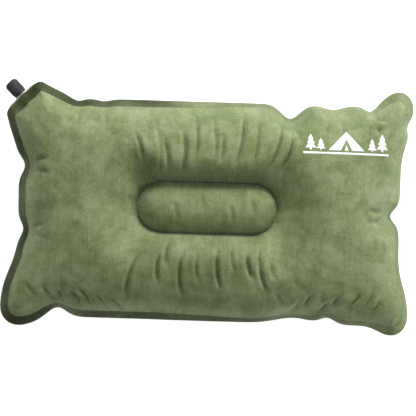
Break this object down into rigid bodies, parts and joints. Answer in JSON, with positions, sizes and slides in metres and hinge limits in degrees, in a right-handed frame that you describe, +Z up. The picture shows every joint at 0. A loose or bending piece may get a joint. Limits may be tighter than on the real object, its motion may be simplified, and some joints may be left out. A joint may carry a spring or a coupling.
{
  "type": "camp pillow",
  "caption": "Self-inflating camp pillow with a pressed weld round its edge, a stadium-shaped weld in the middle and a twist valve across one cut corner.",
  "frame": {"origin": "under the middle of the pillow's outline, on the surface that it rests on", "axes": "+X along the long side, +Y across the short side towards the valve's edge, +Z up through the thickness"},
  "size_m": [0.48, 0.29, 0.0864],
  "materials": {
    "green_suede": "matte",
    "air_film": "satin",
    "foam": "matte",
    "clear_vinyl": "satin",
    "black_plastic": "satin",
    "seal_rubber": "matte"
  },
  "bodies": {
    "pillow": {"upper_cover": "green_suede", "lower_cover": "green_suede", "upper_air_film": "air_film", "lower_air_film": "air_film", "foam_core": "foam", "foam_island": "foam", "valve_boot": "clear_vinyl", "valve_body": "black_plastic", "plug_seal": "seal_rubber"},
    "cap_ring": {"cap_o_ring": "seal_rubber"},
    "cap": {"valve_cap": "black_plastic"}
  },
  "joints": [
    {"name": "cap_travel", "type": "slide", "parent": "pillow", "child": "cap_ring", "axis": [-0.7071, 0.7071, 0], "range_m": [0, 0.0024]},
    {"name": "cap_turn", "type": "hinge", "parent": "cap_ring", "child": "cap", "pos_m": [-0.22, 0.125, 0.04], "axis": [-0.7071, 0.7071, 0], "range_deg": [0, 360]}
  ],
  "couplings": [
    {"joint": "cap_turn", "follows": "cap_travel", "rad_per_m": 2618}
  ]
}
